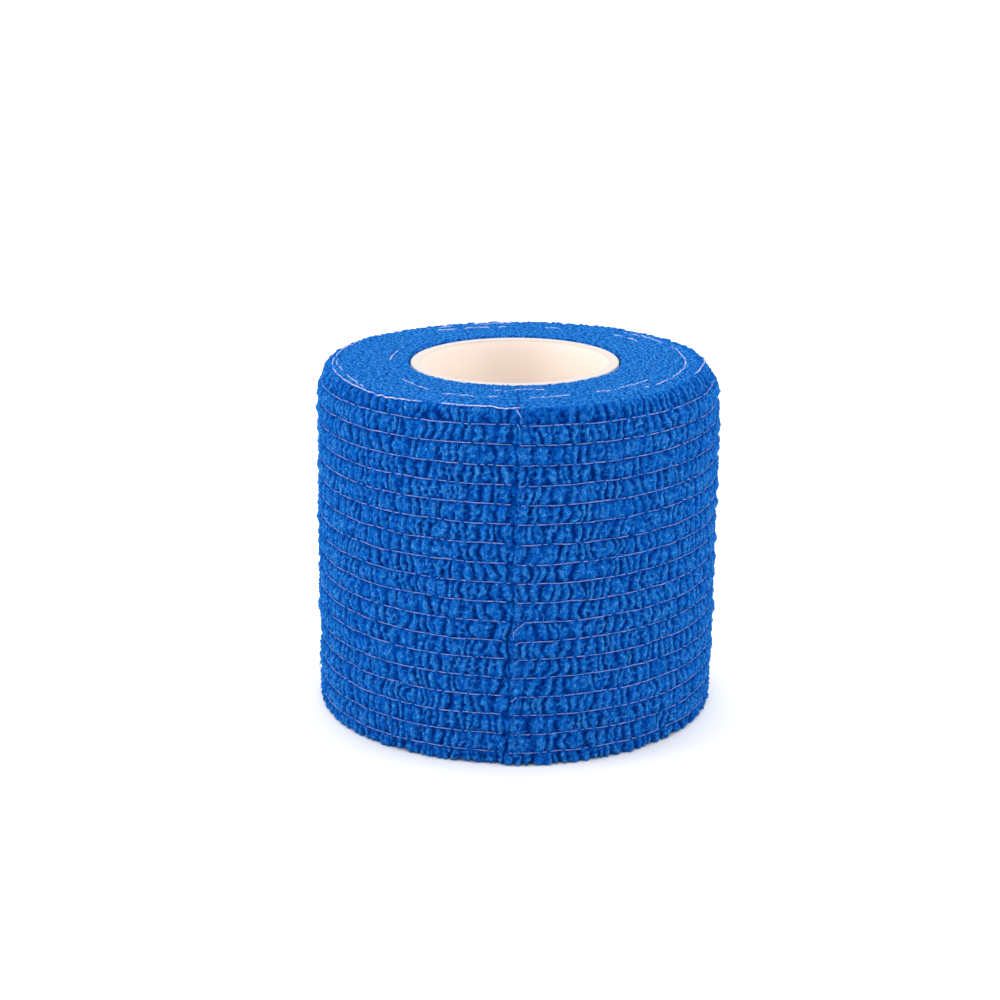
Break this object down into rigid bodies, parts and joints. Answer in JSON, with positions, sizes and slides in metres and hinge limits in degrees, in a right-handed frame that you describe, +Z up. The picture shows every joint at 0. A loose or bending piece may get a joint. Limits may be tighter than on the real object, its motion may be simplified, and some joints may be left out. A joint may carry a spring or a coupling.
{
  "type": "cohesive bandage roll",
  "caption": "Roll of crinkled stretch bandage wound on a hollow plastic core, standing on end. The cloth clings to itself, to wrap a limb or hold a dressing without clips.",
  "frame": {"origin": "middle of the roll's outline, on the surface that it stands on", "axes": "+Z up along the roll's axis, the way the tube points; -Y to the front, where the cut end of the bandage runs down the wall; +X to the right"},
  "size_m": [0.0572, 0.0578, 0.0501],
  "materials": {
    "bandage": "matt crinkled nonwoven cloth with pale elastic threads along it",
    "core": "plain white plastic, slightly warm"
  },
  "bodies": {
    "root": {"bandage": "bandage", "core": "core"}
  },
  "joints": []
}
